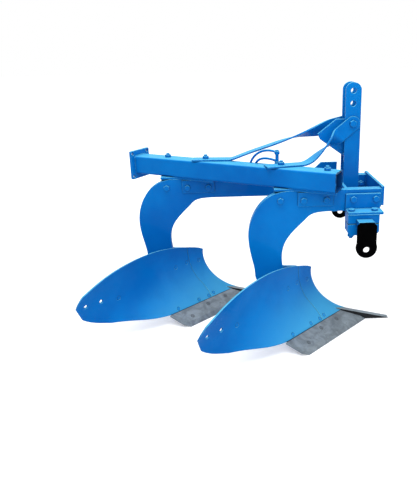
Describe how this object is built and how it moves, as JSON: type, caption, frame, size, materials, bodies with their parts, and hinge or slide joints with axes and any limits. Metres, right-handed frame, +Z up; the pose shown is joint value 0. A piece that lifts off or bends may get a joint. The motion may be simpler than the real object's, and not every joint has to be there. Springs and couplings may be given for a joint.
{
  "type": "two-furrow mounted mouldboard plough",
  "caption": "Tractor-mounted plough with curved mouldboards, steel shares, goose-neck shanks, a diagonal tube and a braced mast.",
  "frame": {"origin": "bottom centre of the plough's overall box, on the ground it stands on", "axes": "+X along the direction of travel, +Y to the left, +Z up"},
  "size_m": [1.4548, 1.0308, 1.151],
  "materials": {
    "blue_paint": "gloss",
    "share_steel": "worn",
    "point_steel": "dark scale",
    "black_paint": "satin"
  },
  "bodies": {
    "root": {"bar_point_front": "point_steel", "bar_point_rear": "point_steel", "beam_stiffener": "blue_paint", "brace_bolt": "blue_paint", "brace_left": "blue_paint", "brace_right": "blue_paint", "bracket_front": "blue_paint", "bracket_rear": "blue_paint", "clamp_lower_left": "blue_paint", "clamp_lower_right": "blue_paint", "clamp_upper_left": "blue_paint", "clamp_upper_right": "blue_paint", "end_flange": "blue_paint", "frog_front": "blue_paint", "frog_rear": "blue_paint", "headstock": "blue_paint", "headstock_plate": "blue_paint", "hitch_angle_left": "blue_paint", "hitch_angle_right": "blue_paint", "hitch_bolts_left": "blue_paint", "hitch_bolts_right": "blue_paint", "hitch_ear_left": "black_paint", "hitch_ear_right": "black_paint", "hitch_tongue_left": "blue_paint", "hitch_tongue_right": "blue_paint", "landside_front": "blue_paint", "landside_rear": "blue_paint", "main_tube": "blue_paint", "mast_bar_left": "blue_paint", "mast_bar_right": "blue_paint", "mast_gusset": "blue_paint", "mouldboard_front": "blue_paint", "mouldboard_rear": "blue_paint", "packer_front": "blue_paint", "packer_rear": "blue_paint", "plough_bolts_front": "blue_paint", "plough_bolts_rear": "blue_paint", "shackle": "blue_paint", "shank_bolts_front": "blue_paint", "shank_bolts_rear": "blue_paint", "shank_front": "blue_paint", "shank_rear": "blue_paint", "share_bolts_front": "share_steel", "share_bolts_rear": "share_steel", "share_front": "share_steel", "share_rear": "share_steel", "shin_front": "blue_paint", "shin_rear": "blue_paint", "stay_front": "blue_paint", "stay_rear": "blue_paint", "tube_bolts_front": "blue_paint", "tube_bolts_rear": "blue_paint"}
  },
  "joints": []
}
